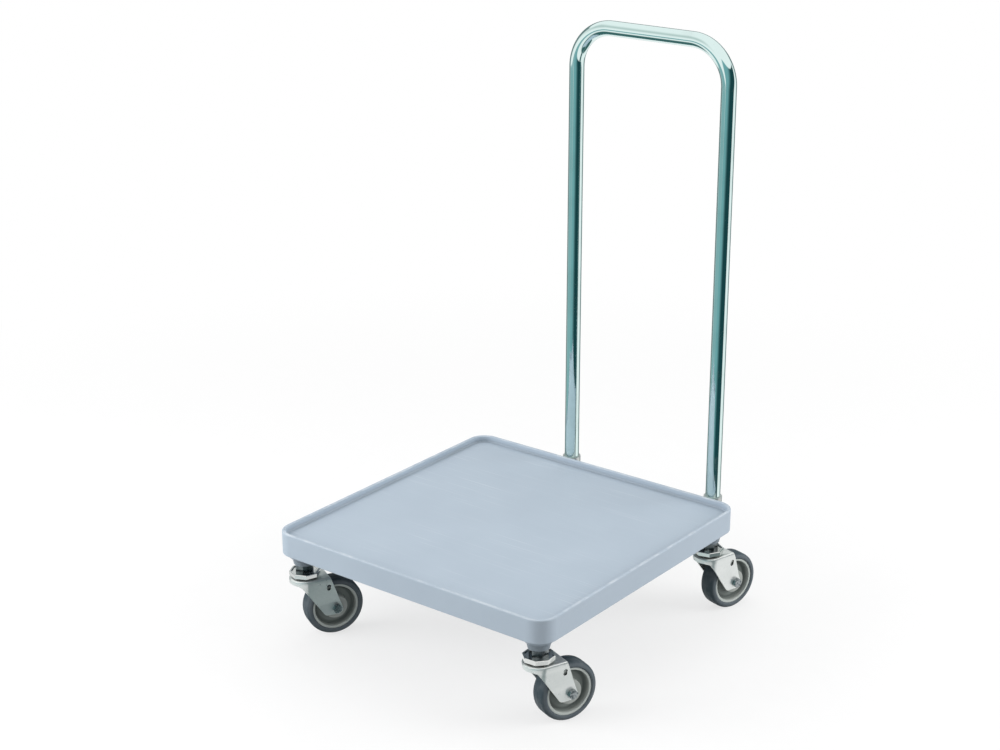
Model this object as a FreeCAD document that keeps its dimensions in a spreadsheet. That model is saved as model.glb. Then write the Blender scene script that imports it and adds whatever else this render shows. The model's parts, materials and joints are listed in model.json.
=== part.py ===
import FreeCAD, Part
import math
import os
import re
import Sketcher
from FreeCAD import Vector

# A square rolling dolly. A moulded tray with a shallow rim is its deck, a bent tube behind it is
# the push handle, and four swivel casters with rubber tyred wheels stand under its corners.
# The origin is the middle of the deck's top face. X runs along the front, +Y towards the handle, +Z up.

SIZES = {
    # tray
    "tray_side": 552,
    "corner_radius": 32,
    "skirt_height": 40,
    "nest_depth": 11,
    "deck_thickness": 6,
    "rim_wall": 6,
    "rim_land": 1.2,
    "skirt_wall": 5,
    "skirt_edge": 1,
    "nest_round": 3,
    "rib_thickness": 4,
    "rib_setback": 6,
    "rib_count": 3,
    # bosses that take the caster stems
    "boss_top_radius": 27,
    "boss_neck_radius": 22.2,
    "boss_bottom_radius": 17.5,
    "boss_margin": 7,
    "boss_drop": 21,
    "boss_flare": 13,
    "insert_wall": 4,
    "insert_length": 34,
    "seat_play": 0.05,
    # caster stem and swivel bearing
    "stem_radius": 6,
    "collar_flats": 27,
    "collar_height": 15,
    "race_inset": 2,
    "race_thickness": 6,
    "race_lip_width": 3.5,
    "race_lip_height": 2,
    "race_chamfer": 0.9,
    "bearing_gap": 3,
    "upper_ball_radius": 2.5,
    "upper_ball_inset": 7.5,
    "upper_ball_count": 14,
    "lower_gap": 2.4,
    "lower_ball_radius": 2,
    "lower_ball_circle": 12,
    "lower_ball_count": 12,
    "ball_play": 0.3,
    "lower_race_rim": 3,
    "lower_race_thickness": 3,
    "kingpin_nut_flats": 19,
    "kingpin_nut_height": 9,
    "thread_end": 1.5,
    "swivel_play": 0.08,
    # fork
    "sheet_thickness": 3,
    "crown_swell": 5,
    "crown_skirt": 9,
    "crown_round": 3,
    "web_reach": 36,
    "leg_front": 15,
    "throat_round": 14,
    "nose_front": 20,
    "nose_rear": 10.5,
    "nose_round": 8,
    "nose_flat": 3,
    "flat_rise": 13,
    "window_radius": 3.5,
    "window_pitch": 4.4,
    "window_rise": 42,
    "window_setback": 14.3,
    # wheel and axle
    "wheel_radius": 50,
    "wheel_clearance": 7,
    "nut_clearance": 6,
    "tyre_width": 32,
    "tyre_thickness": 10,
    "tyre_flank": 1.2,
    "tyre_flank_rise": 2,
    "flank_straight": 1,
    "hub_rim_inset": 2,
    "hub_rim_wall": 3.8,
    "hub_draft": 1.6,
    "hub_web": 8,
    "hub_boss_wall": 9,
    "hub_proud": 1,
    "side_gap": 1,
    "bush_wall": 3.4,
    "sleeve_wall": 2.45,
    "axle_radius": 4.75,
    "axle_hole_play": 0.1,
    "running_play": 0.05,
    "axle_hex_flats": 14.3,
    "axle_head_height": 6,
    "axle_nut_height": 9,
    # way each caster trails and each race is screwed round, in degrees from +X
    "trail_angle_front_left": 62,
    "trail_angle_front_right": 68,
    "trail_angle_rear_left": 70,
    "trail_angle_rear_right": 74,
    "race_angle_front_left": 3,
    "race_angle_front_right": 26,
    "race_angle_rear_left": 12,
    "race_angle_rear_right": 36,
    # handle
    "tube_radius": 12.7,
    "tube_wall": 1.5,
    "handle_span": 298,
    "handle_inset": 61,
    "handle_rise": 785,
    "bend_radius": 70,
    "plug_flange": 3,
    "plug_depth": 14,
    "plug_play": 0.1,
    # handle sockets
    "plate_thickness": 4,
    "plate_margin": 0.6,
    "plate_edge": 1.5,
    "plate_round": 4,
    "socket_wall": 3,
    "weld_sink": 2,
    "socket_drop": 16,
    "socket_top": 8,
    "tube_play": 0.1,
    "screw_radius": 4,
    "screw_offset": 8.2,
    "screw_bite": 15,
    "pad_floor": 6,
    "screw_hole_play": 0.3,
    "screw_head_flats": 13,
    "screw_head_height": 5.3,
    "washer_radius": 8.5,
    "washer_thickness": 1.6,
    "lock_radius": 3,
    "lock_head_radius": 5,
    "lock_head_height": 3.3,
    "lock_bite": 3,
    "lock_rise": 13,
}

# Heights and places on the tray that several pieces share, as formulas of the sizes
REAR_FACE = "(tray_side / 2)"
EDGE_ROUND = "((rim_wall - rim_land) / 2)"
SKIRT_BOTTOM = "(nest_depth - skirt_height)"
UNDER_DECK = "(skirt_height - nest_depth - deck_thickness)"
BOSS_BOTTOM = f"({SKIRT_BOTTOM} - boss_drop)"
STEM_REACH = "(tray_side / 2 - boss_top_radius - boss_margin)"
INSERT_RADIUS = "(stem_radius + seat_play + insert_wall)"
RIB_PITCH = "((tray_side - 2 * skirt_wall) / (rib_count + 1))"

# The handle's legs, its sockets and their screws
HANDLE_MIDDLE = "(tray_side / 2 - handle_inset - handle_span / 2)"
SLEEVE_RADIUS = "(tube_radius + tube_play + socket_wall)"
LEG_OUT = f"(plate_thickness - weld_sink + {SLEEVE_RADIUS})"
SOCKET_BOTTOM = f"({SKIRT_BOTTOM} - socket_drop)"
SCREW_REACH = f"({SLEEVE_RADIUS} + screw_offset)"
SCREW_HEIGHT = f"(({SKIRT_BOTTOM} - deck_thickness / 2) / 2)"
PLATE_HALF = f"({SCREW_REACH} + washer_radius + plate_edge)"
LOCK_HEIGHT = f"({SOCKET_BOTTOM} + plug_depth + lock_rise)"

# Widths of a caster, from the wheel outwards
HUB_WIDTH = "(tyre_width + 2 * hub_proud)"
FORK_GAP = f"({HUB_WIDTH} + 2 * side_gap)"
FORK_HALF = f"({FORK_GAP} / 2 + sheet_thickness)"
CROWN_RADIUS = f"({FORK_HALF} + crown_swell)"
RACE_FLATS = f"(2 * {CROWN_RADIUS} - 2 * race_inset)"
UPPER_BALL_CIRCLE = f"({CROWN_RADIUS} - race_inset - upper_ball_inset)"

# Radii of a wheel, from the axle outwards
AXLE_SLEEVE_RADIUS = "(axle_radius + seat_play + sleeve_wall)"
BUSH_RADIUS = f"({AXLE_SLEEVE_RADIUS} + running_play + bush_wall)"
HUB_BORE = f"({BUSH_RADIUS} + seat_play)"
TYRE_SEAT = "(wheel_radius - tyre_thickness)"

# Heights of a caster, from the bottom of its boss downwards. The wheel trails just far enough to
# clear the corners of the kingpin nut.
CROWN_TOP = "(-collar_height - race_thickness - bearing_gap)"
CROWN_UNDER = f"({CROWN_TOP} - sheet_thickness)"
CUP_BOTTOM = f"({CROWN_TOP} - crown_skirt)"
UPPER_BALLS = f"({CROWN_TOP} + bearing_gap / 2)"
LOWER_BALLS = f"({CROWN_UNDER} - lower_gap / 2)"
LOWER_RACE_TOP = f"({CROWN_UNDER} - lower_gap)"
NUT_TOP = f"({LOWER_RACE_TOP} - lower_race_thickness)"
NUT_BOTTOM = f"({NUT_TOP} - kingpin_nut_height)"
AXLE = f"({CROWN_UNDER} - wheel_clearance - wheel_radius)"
LEG_FLAT_TOP = f"({AXLE} + flat_rise)"
NOSE = f"({AXLE} - nose_round - nose_flat)"
NUT_REACH = "(kingpin_nut_flats / 2 / cos(30))"
TRAIL = f"({NUT_REACH} + sqrt((wheel_radius + nut_clearance)^2 - ({NUT_BOTTOM} - {AXLE})^2))"

# How near an edge lies to the place that picks it
EDGE_SLACK = 1e-3

CORNERS = {"front_left": (-1, -1), "front_right": (1, -1), "rear_left": (-1, 1), "rear_right": (1, 1)}
SIDES = {"left": -1, "right": 1}

doc = FreeCAD.newDocument("dish_rack_dolly")
sheet = doc.addObject("Spreadsheet::Sheet", "Sizes")
for row, (size_name, size) in enumerate(SIZES.items(), 1):
    sheet.set(f"A{row}", size_name)
    sheet.set(f"B{row}", str(size))
    sheet.setAlias(f"B{row}", size_name)
doc.recompute()


def formula(text):
    """Turn the names of sizes in a formula into cells of the sheet."""
    def cell(word):
        return f"Sizes.{word[0]}" if word[0] in SIZES else word[0]
    return re.sub(r"[a-z]\w*", cell, text)


def bind(item, formulas):
    """Tie properties of an object to formulas."""
    for path, text in formulas.items():
        item.setExpression(path, formula(text))


def new_body(label, x="0", y="0", z="0", angle="0"):
    """A sub-part in its own frame, placed and turned about the upright axis."""
    body = doc.addObject("PartDesign::Body", label)
    body.Label = label
    bind(body, {"Placement.Base.x": x, "Placement.Base.y": y, "Placement.Base.z": z})
    bind(body, {"Placement.Rotation.Angle": angle})
    return body


def new_sketch(body, plane, offset="0"):
    """A sketch on one of the body's own planes, shifted along that plane's normal."""
    sketch = body.newObject("Sketcher::SketchObject", "Sketch")
    support = next(item for item in body.Origin.OriginFeatures if item.Role == plane)
    sketch.AttachmentSupport = [(support, "")]
    sketch.MapMode = "FlatFace"
    bind(sketch, {"AttachmentOffset.Base.z": offset})
    return sketch


def hold_point(sketch, curve, point, start, x, y):
    """Fix a point of a sketch at two formulas."""
    for kind, now, text in (("DistanceX", start.x, x), ("DistanceY", start.y, y)):
        number = sketch.addConstraint(Sketcher.Constraint(kind, -1, 1, curve, point, now))
        bind(sketch, {f"Constraints[{number}]": text})


def draw_outline(sketch, corners):
    """A closed outline of straight lines through corners given as formulas."""
    count = len(corners)
    turns = [2 * math.pi * k / count for k in range(count)]
    start = [Vector(math.cos(turn), math.sin(turn), 0) for turn in turns]
    lines = [sketch.addGeometry(Part.LineSegment(start[k - 1], start[k])) for k in range(count)]
    for k in range(count):
        sketch.addConstraint(Sketcher.Constraint("Coincident", lines[k - 1], 2, lines[k], 1))
    for line, spot, (x, y) in zip(lines, start, corners):
        hold_point(sketch, line, 2, spot, x, y)


def draw_box(sketch, x_low, x_high, y_low, y_high):
    """A rectangle between four formulas."""
    draw_outline(sketch, [(x_low, y_low), (x_high, y_low), (x_high, y_high), (x_low, y_high)])


def draw_circle(sketch, radius, x="0", y="0"):
    """A circle of a given radius about a point, all as formulas."""
    start = Vector(1, 1, 0)
    ring = sketch.addGeometry(Part.Circle(start, Vector(0, 0, 1), 1))
    hold_point(sketch, ring, 3, start, x, y)
    number = sketch.addConstraint(Sketcher.Constraint("Radius", ring, 1))
    bind(sketch, {f"Constraints[{number}]": radius})


def draw_regular(sketch, sides, flats, x="0", y="0"):
    """A regular polygon by its size across flats, with a corner on the sketch's first axis."""
    reach = f"({flats}) / 2 / cos(180 / {sides})"
    step = 360 / sides
    corners = [(f"{x} + {reach} * cos({k * step})", f"{y} + {reach} * sin({k * step})") for k in range(sides)]
    draw_outline(sketch, corners)


def pad(body, sketch, length, flip=False, symmetric=False):
    """Add material from a sketch, along its normal unless flipped."""
    feature = body.newObject("PartDesign::Pad", "Pad")
    feature.Profile = sketch
    feature.SideType = "Symmetric" if symmetric else "One side"
    feature.Reversed = flip
    bind(feature, {"Length": length})
    doc.recompute()
    return feature


def revolve(body, sketch):
    """Turn a sketch a full turn about its second axis."""
    feature = body.newObject("PartDesign::Revolution", "Revolution")
    feature.Profile = sketch
    feature.ReferenceAxis = (sketch, ["V_Axis"])
    feature.Angle = 360
    doc.recompute()
    return feature


def check_cut(body, before):
    """Stop where a cut has missed the solid."""
    doc.recompute()
    if not body.Shape.Volume < before:
        raise RuntimeError(f"a cut in {body.Label} removes nothing")


def pocket(body, sketch, depth, flip=False, symmetric=False):
    """Cut material away from a sketch, against its normal unless flipped."""
    before = body.Shape.Volume
    feature = body.newObject("PartDesign::Pocket", "Pocket")
    feature.Profile = sketch
    feature.SideType = "Symmetric" if symmetric else "One side"
    feature.Reversed = flip
    bind(feature, {"Length": depth})
    check_cut(body, before)
    return feature


def groove(body, sketch):
    """Cut a ring by turning a sketch about its second axis."""
    before = body.Shape.Volume
    feature = body.newObject("PartDesign::Groove", "Groove")
    feature.Profile = sketch
    feature.ReferenceAxis = (sketch, ["V_Axis"])
    feature.Angle = 360
    check_cut(body, before)
    return feature


def dress(body, kind, path, size, wanted):
    """Fillet or chamfer the edges of the body's last feature that a test picks."""
    base = body.Tip
    names = [f"Edge{k}" for k, edge in enumerate(base.Shape.Edges, 1) if wanted(edge)]
    if not names:
        raise RuntimeError(f"no edge of {body.Label} to dress")
    feature = body.newObject(f"PartDesign::{kind}", kind)
    feature.Base = (base, names)
    bind(feature, {path: size})
    doc.recompute()
    return feature


def fillet(body, radius, wanted):
    return dress(body, "Fillet", "Radius", radius, wanted)


def chamfer(body, size, wanted):
    return dress(body, "Chamfer", "Size", size, wanted)


def read(text):
    """The present number of a formula, for first places in a sketch and for picking edges."""
    holder = doc.addObject("App::FeaturePython", "Reader")
    holder.addProperty("App::PropertyFloat", "Number")
    bind(holder, {"Number": text})
    holder.recompute()
    number = holder.Number
    doc.removeObject(holder.Name)
    return number


def at_height(edge, height):
    """True for an edge that lies level at a height."""
    box = edge.BoundBox
    return abs(box.ZMin - height) < EDGE_SLACK and abs(box.ZMax - height) < EDGE_SLACK


def join_with_bend(sketch, centre, radius, start, ends, sweep=math.pi / 2):
    """An arc between the ends of two lines, tangent to the first of them."""
    circle = Part.Circle(centre, Vector(0, 0, 1), radius)
    arc = sketch.addGeometry(Part.ArcOfCircle(circle, start, start + sweep))
    for kind, (line, line_end, arc_end) in zip(("Tangent", "Coincident"), ends):
        sketch.addConstraint(Sketcher.Constraint(kind, line, line_end, arc, arc_end))


def draw_lines(sketch, spots):
    """Separate straight lines between pairs of spots given as formulas."""
    points = [Vector(read(x), read(y), 0) for x, y in spots]
    lines = []
    for k in range(0, len(spots), 2):
        line = sketch.addGeometry(Part.LineSegment(points[k], points[k + 1]))
        for end in (0, 1):
            hold_point(sketch, line, end + 1, points[k + end], *spots[k + end])
        lines.append(line)
    return lines


def rounded_square(body, half, radius, offset):
    """A sketch of a square with rounded corners, centred on the upright axis."""
    sketch = new_sketch(body, "XY_Plane", offset)
    flat = f"({half} - ({radius}))"
    lines = draw_lines(sketch, [
        (f"-{flat}", f"-({half})"), (flat, f"-({half})"), (half, f"-{flat}"), (half, flat),
        (flat, half), (f"-{flat}", half), (f"-({half})", flat), (f"-({half})", f"-{flat}"),
    ])
    bend = read(radius)
    centre = read(flat)
    for k, (x_sign, y_sign) in enumerate(((1, -1), (1, 1), (-1, 1), (-1, -1))):
        ends = ((lines[k], 2, 1), (lines[(k + 1) % 4], 1, 2))
        join_with_bend(sketch, Vector(x_sign * centre, y_sign * centre, 0), bend, (k - 1) * math.pi / 2, ends)
    return sketch


def group(label, bodies):
    """Several separate solids as one sub-part."""
    node = doc.addObject("Part::Compound", label)
    node.Label = label
    node.Links = bodies
    return node


def stem_place(corner):
    """Where a caster's stem axis stands, as two formulas."""
    x_sign, y_sign = CORNERS[corner]
    return f"({x_sign} * {STEM_REACH})", f"({y_sign} * {STEM_REACH})"


def leg_place(side):
    """Where a leg of the handle stands across the dolly."""
    return f"({HANDLE_MIDDLE} + {SIDES[side]} * handle_span / 2)"


def screw_place(side, sign):
    """Where a screw of a handle socket stands across the dolly."""
    return f"({leg_place(side)} + {sign} * {SCREW_REACH})"


def make_tray():
    """The moulded tray: rim, deck, skirt, ribs, corner bosses and the pads behind the handle sockets."""
    body = new_body("tray")
    rim_top = read("nest_depth")
    skirt_bottom = read(SKIRT_BOTTOM)
    outside = rounded_square(body, "tray_side / 2", "corner_radius", SKIRT_BOTTOM)
    pad(body, outside, "skirt_height")
    fillet(body, EDGE_ROUND, lambda edge: at_height(edge, rim_top))
    fillet(body, "skirt_edge", lambda edge: at_height(edge, skirt_bottom))

    nest = rounded_square(body, "tray_side / 2 - rim_wall", "corner_radius - rim_wall", "nest_depth")
    pocket(body, nest, "nest_depth")
    nest_half = read("tray_side / 2 - rim_wall")

    def in_nest(edge):
        box = edge.BoundBox
        return max(abs(box.XMin), abs(box.XMax), abs(box.YMin), abs(box.YMax)) < nest_half + EDGE_SLACK

    fillet(body, EDGE_ROUND, lambda edge: at_height(edge, rim_top) and in_nest(edge))
    fillet(body, "nest_round", lambda edge: at_height(edge, 0) and in_nest(edge))

    hollow = rounded_square(body, "tray_side / 2 - skirt_wall", "corner_radius - skirt_wall", SKIRT_BOTTOM)
    pocket(body, hollow, UNDER_DECK, flip=True)
    add_ribs(body, across=True)
    add_ribs(body, across=False)
    add_bosses(body)
    add_handle_pads(body)
    cut_tray_holes(body)
    return body


def add_ribs(body, across):
    """Straight stiffening ribs under the deck, one way."""
    first = f"({RIB_PITCH} * (rib_count - 1) / 2)"
    reach = "(tray_side / 2 - skirt_wall / 2)"
    span = (f"-{reach}", reach)
    strip = (f"-{first} - rib_thickness / 2", f"-{first} + rib_thickness / 2")
    bounds = strip + span if across else span + strip
    sketch = new_sketch(body, "XY_Plane", "-deck_thickness")
    draw_box(sketch, *bounds)
    rib = pad(body, sketch, f"{UNDER_DECK} - rib_setback", flip=True)
    pattern = body.newObject("PartDesign::LinearPattern", "Ribs")
    pattern.Originals = [rib]
    pattern.Direction = (sketch, ["H_Axis" if across else "V_Axis"])
    bind(pattern, {"Length": f"{RIB_PITCH} * (rib_count - 1)", "Occurrences": "rib_count"})
    body.Tip = pattern
    doc.recompute()


def add_cone(body, corner, bottom_radius, top_radius, rise):
    """One tapered stretch of a boss, down from the bottom of the skirt."""
    x, y = stem_place(corner)
    cone = body.newObject("PartDesign::AdditiveCone", "Boss")
    bind(cone, {"Radius1": bottom_radius, "Radius2": top_radius, "Height": rise})
    bind(cone, {"Placement.Base.x": x, "Placement.Base.y": y, "Placement.Base.z": f"{SKIRT_BOTTOM} - {rise}"})
    doc.recompute()


def add_bosses(body):
    """Tapered bosses under the corners for the caster stems, flared where they meet the skirt."""
    ring = new_sketch(body, "XY_Plane", SKIRT_BOTTOM)
    for corner in CORNERS:
        draw_circle(ring, "boss_top_radius", *stem_place(corner))
    pad(body, ring, f"{UNDER_DECK} + deck_thickness / 2")
    taper = "((boss_neck_radius - boss_bottom_radius) / boss_drop)"
    for corner in CORNERS:
        add_cone(body, corner, "boss_bottom_radius", "boss_neck_radius", "boss_drop")
        add_cone(body, corner, f"boss_neck_radius - {taper} * boss_flare",
                 "boss_top_radius + boss_margin - skirt_wall / 2", "boss_flare")


def add_handle_pads(body):
    """Solid pads inside the rear skirt, behind the handle sockets."""
    blocks = new_sketch(body, "XY_Plane", SKIRT_BOTTOM)
    for side in SIDES:
        leg = leg_place(side)
        draw_box(blocks, f"{leg} - {PLATE_HALF}", f"{leg} + {PLATE_HALF}",
                 f"{REAR_FACE} - screw_bite - pad_floor", f"{REAR_FACE} - skirt_wall / 2")
    pad(body, blocks, f"{UNDER_DECK} + deck_thickness / 2")


def cut_tray_holes(body):
    """Blind holes for the stem inserts in the bosses and for the socket screws in the pads."""
    bosses = new_sketch(body, "XY_Plane", BOSS_BOTTOM)
    for corner in CORNERS:
        draw_circle(bosses, f"{INSERT_RADIUS} + seat_play", *stem_place(corner))
    pocket(body, bosses, "insert_length", flip=True)
    pads = new_sketch(body, "XZ_Plane", f"-{REAR_FACE}")
    for side in SIDES:
        for sign in SIDES.values():
            draw_circle(pads, "screw_radius + seat_play", screw_place(side, sign), SCREW_HEIGHT)
    pocket(body, pads, "screw_bite + seat_play", flip=True)


def make_handle_tube():
    """The push handle: one steel tube bent to an upside-down U, with a hole for each lock screw."""
    body = new_body("handle_tube", x=HANDLE_MIDDLE, y=f"{REAR_FACE} + {LEG_OUT}")
    bottom = f"({SOCKET_BOTTOM} + plug_flange)"
    half, rise, bend = "handle_span / 2", "handle_rise", "bend_radius"
    path = new_sketch(body, "XZ_Plane")
    draw_handle_path(path, half, bottom, rise, bend)
    ring = new_sketch(body, "XY_Plane", bottom)
    draw_circle(ring, "tube_radius", f"-{half}")
    draw_circle(ring, "tube_radius - tube_wall", f"-{half}")
    pipe = body.newObject("PartDesign::AdditivePipe", "Pipe")
    pipe.Profile = ring
    pipe.Spine = path
    doc.recompute()
    holes = new_sketch(body, "XZ_Plane")
    for sign in SIDES.values():
        draw_circle(holes, "lock_radius + seat_play", f"{sign} * {half}", LOCK_HEIGHT)
    pocket(body, holes, "2 * tube_radius")
    return body


def draw_handle_path(sketch, half, bottom, rise, bend):
    """The handle's centre line: two legs, two quarter bends and the bar."""
    legs_and_bar = draw_lines(sketch, [
        (f"-{half}", bottom), (f"-{half}", f"{rise} - {bend}"),
        (f"-{half} + {bend}", rise), (f"{half} - {bend}", rise),
        (half, f"{rise} - {bend}"), (half, bottom),
    ])
    radius = read(bend)
    for k, (sign, start) in enumerate(((-1, math.pi / 2), (1, 0))):
        centre = Vector(sign * (read(half) - radius), read(rise) - radius, 0)
        ends = ((legs_and_bar[k], 2, 2), (legs_and_bar[k + 1], 1, 1))
        join_with_bend(sketch, centre, radius, start, ends)


def make_handle_socket(side):
    """A steel plate on the rear skirt with a sleeve welded on, which holds one leg of the handle."""
    body = new_body(f"handle_socket_{side}", x=leg_place(side), y=REAR_FACE)
    plate = new_sketch(body, "XZ_Plane")
    draw_box(plate, f"-{PLATE_HALF}", PLATE_HALF,
             f"{SKIRT_BOTTOM} + skirt_edge + plate_margin", f"nest_depth - {EDGE_ROUND} - plate_margin")
    pad(body, plate, "plate_thickness", flip=True)

    def along_y(edge):
        box = edge.BoundBox
        return box.XLength < EDGE_SLACK and box.ZLength < EDGE_SLACK

    fillet(body, "plate_round", along_y)
    sleeve = new_sketch(body, "XY_Plane", SOCKET_BOTTOM)
    draw_circle(sleeve, SLEEVE_RADIUS, y=LEG_OUT)
    pad(body, sleeve, f"socket_top - {SOCKET_BOTTOM}")
    bore = new_sketch(body, "XY_Plane", "socket_top")
    draw_circle(bore, "tube_radius + tube_play", y=LEG_OUT)
    pocket(body, bore, f"socket_top - {SOCKET_BOTTOM}")
    holes = new_sketch(body, "XZ_Plane")
    for sign in SIDES.values():
        draw_circle(holes, "screw_radius + screw_hole_play", f"{sign} * {SCREW_REACH}", SCREW_HEIGHT)
    pocket(body, holes, "plate_thickness")
    lock = new_sketch(body, "XZ_Plane", f"-{LEG_OUT}")
    draw_circle(lock, "lock_radius + seat_play", y=LOCK_HEIGHT)
    pocket(body, lock, SLEEVE_RADIUS)
    return body


def make_socket_hardware():
    """Screws and washers that hold the socket plates on the tray."""
    screws, washers = [], []
    for side in SIDES:
        for sign in SIDES.values():
            place = {"x": screw_place(side, sign), "y": f"{REAR_FACE} + plate_thickness", "z": SCREW_HEIGHT}
            washer = new_body(f"washer_{side}_{sign}", **place)
            ring = new_sketch(washer, "XZ_Plane")
            draw_circle(ring, "washer_radius")
            draw_circle(ring, "screw_radius + screw_hole_play")
            pad(washer, ring, "washer_thickness", flip=True)
            washers.append(washer)
            screw = new_body(f"screw_{side}_{sign}", **place)
            head = new_sketch(screw, "XZ_Plane", "-washer_thickness")
            draw_regular(head, 6, "screw_head_flats")
            pad(screw, head, "screw_head_height", flip=True)
            shank = new_sketch(screw, "XZ_Plane", "-washer_thickness")
            draw_circle(shank, "screw_radius")
            pad(screw, shank, "washer_thickness + plate_thickness + screw_bite")
            screws.append(screw)
    return [group("handle_socket_screws", screws), group("handle_socket_washers", washers)]


def make_lock_screws():
    """A button headed screw through each sleeve into the handle tube."""
    screws = []
    for side in SIDES:
        screw = new_body(f"lock_{side}", x=leg_place(side), y=f"{REAR_FACE} + {LEG_OUT}", z=LOCK_HEIGHT)
        profile = new_sketch(screw, "XY_Plane")
        seat = SLEEVE_RADIUS
        inner = "(tube_radius - tube_wall - lock_bite)"
        top = f"({seat} + lock_head_height)"
        draw_outline(profile, [("0", inner), ("lock_radius", inner), ("lock_radius", seat),
                               ("lock_head_radius", seat), ("lock_radius", top), ("0", top)])
        revolve(screw, profile)
        screws.append(screw)
    return group("handle_lock_screws", screws)


def make_end_plugs():
    """Plastic plugs that close the lower ends of the handle tube."""
    plugs = []
    for side in SIDES:
        plug = new_body(f"plug_{side}", x=leg_place(side), y=f"{REAR_FACE} + {LEG_OUT}", z=SOCKET_BOTTOM)
        flange = new_sketch(plug, "XY_Plane")
        draw_circle(flange, "tube_radius")
        pad(plug, flange, "plug_flange")
        stub = new_sketch(plug, "XY_Plane", "plug_flange")
        draw_circle(stub, "tube_radius - tube_wall - plug_play")
        pad(plug, stub, "plug_depth - plug_flange")
        plugs.append(plug)
    return group("handle_end_plugs", plugs)


def stem_body(label, corner, angle="0"):
    """A body whose frame is on a caster's stem axis at the bottom of its boss."""
    x, y = stem_place(corner)
    return new_body(label, x=x, y=y, z=BOSS_BOTTOM, angle=angle)


def axle_body(label, corner):
    """A body whose frame is at a wheel's centre, with Y along the axle."""
    x, y = stem_place(corner)
    turn = f"trail_angle_{corner}"
    return new_body(label, x=f"{x} + {TRAIL} * cos({turn})", y=f"{y} + {TRAIL} * sin({turn})",
                    z=f"{BOSS_BOTTOM} + {AXLE}", angle=turn)


def make_stem_inserts():
    """Threaded bushes moulded into the bosses."""
    inserts = []
    for corner in CORNERS:
        insert = stem_body(f"insert_{corner}", corner)
        ring = new_sketch(insert, "XY_Plane")
        draw_circle(ring, INSERT_RADIUS)
        draw_circle(ring, "stem_radius + seat_play")
        pad(insert, ring, "insert_length")
        inserts.append(insert)
    return group("stem_inserts", inserts)


def make_stem(corner):
    """The caster's stem: threaded shank, hexagon collar and the kingpin below it, in one piece."""
    body = stem_body(f"{corner}_stem", corner, f"race_angle_{corner}")
    collar = new_sketch(body, "XY_Plane")
    draw_regular(collar, 6, "collar_flats")
    pad(body, collar, "collar_height", flip=True)
    shank = new_sketch(body, "XY_Plane")
    draw_circle(shank, "stem_radius")
    pad(body, shank, "insert_length - thread_end")
    kingpin = new_sketch(body, "XY_Plane", "-collar_height")
    draw_circle(kingpin, "stem_radius")
    pad(body, kingpin, f"-collar_height - {NUT_BOTTOM} + thread_end", flip=True)
    ends = (read("insert_length - thread_end"), read(f"{NUT_BOTTOM} - thread_end"))
    chamfer(body, "thread_end / 2", lambda edge: any(at_height(edge, end) for end in ends))
    return body


def make_upper_race(corner):
    """The octagonal plate fixed under the collar, with a raised lip and the ball track on its underside."""
    body = stem_body(f"{corner}_upper_race", corner, f"race_angle_{corner}")
    lip_top = "(race_lip_height - collar_height)"
    plate = new_sketch(body, "XY_Plane", lip_top)
    draw_regular(plate, 8, RACE_FLATS)
    pad(body, plate, "race_lip_height + race_thickness", flip=True)
    dish = new_sketch(body, "XY_Plane", lip_top)
    draw_regular(dish, 8, f"{RACE_FLATS} - 2 * race_lip_width")
    pocket(body, dish, "race_lip_height")
    levels = (read(lip_top), read("-collar_height - race_thickness"))
    chamfer(body, "race_chamfer", lambda edge: any(at_height(edge, level) for level in levels))
    hole = new_sketch(body, "XY_Plane", "-collar_height")
    draw_circle(hole, "stem_radius + seat_play")
    pocket(body, hole, "race_thickness")
    track = new_sketch(body, "XZ_Plane")
    draw_circle(track, "upper_ball_radius + seat_play", UPPER_BALL_CIRCLE, UPPER_BALLS)
    groove(body, track)
    return body


def make_balls(track, circle, height):
    """The balls of one swivel track on every caster."""
    ball, count = f"{track}_ball_radius", f"{track}_ball_count"
    balls = []
    for corner in CORNERS:
        x, y = stem_place(corner)
        for k in range(int(SIZES[count])):
            turn = f"360 * {k} / {count}"
            sphere = doc.addObject("Part::Sphere", "Ball")
            bind(sphere, {"Radius": ball, "Placement.Base.x": f"{x} + {circle} * cos({turn})",
                          "Placement.Base.y": f"{y} + {circle} * sin({turn})",
                          "Placement.Base.z": f"{BOSS_BOTTOM} + {height}"})
            balls.append(sphere)
    return group(f"{track}_swivel_balls", balls)


def channel(body, half, rear, height):
    """A level sketch of a U that is round in front and open to the rear, where a line closes it."""
    sketch = new_sketch(body, "XY_Plane", height)
    sides = draw_lines(sketch, [(rear, half), ("0", half), ("0", f"-{half}"), (rear, f"-{half}"),
                                (rear, f"-{half}"), (rear, half)])
    join_with_bend(sketch, Vector(0, 0, 0), read(half), math.pi / 2,
                   ((sides[0], 2, 1), (sides[1], 1, 2)), sweep=math.pi)
    return sketch


def loft(body, kind, first, last):
    """Add or cut straight between two sketches."""
    feature = body.newObject(f"PartDesign::{kind}", kind)
    feature.Profile = first
    feature.Sections = [last]
    feature.Ruled = True
    doc.recompute()
    return feature


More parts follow.
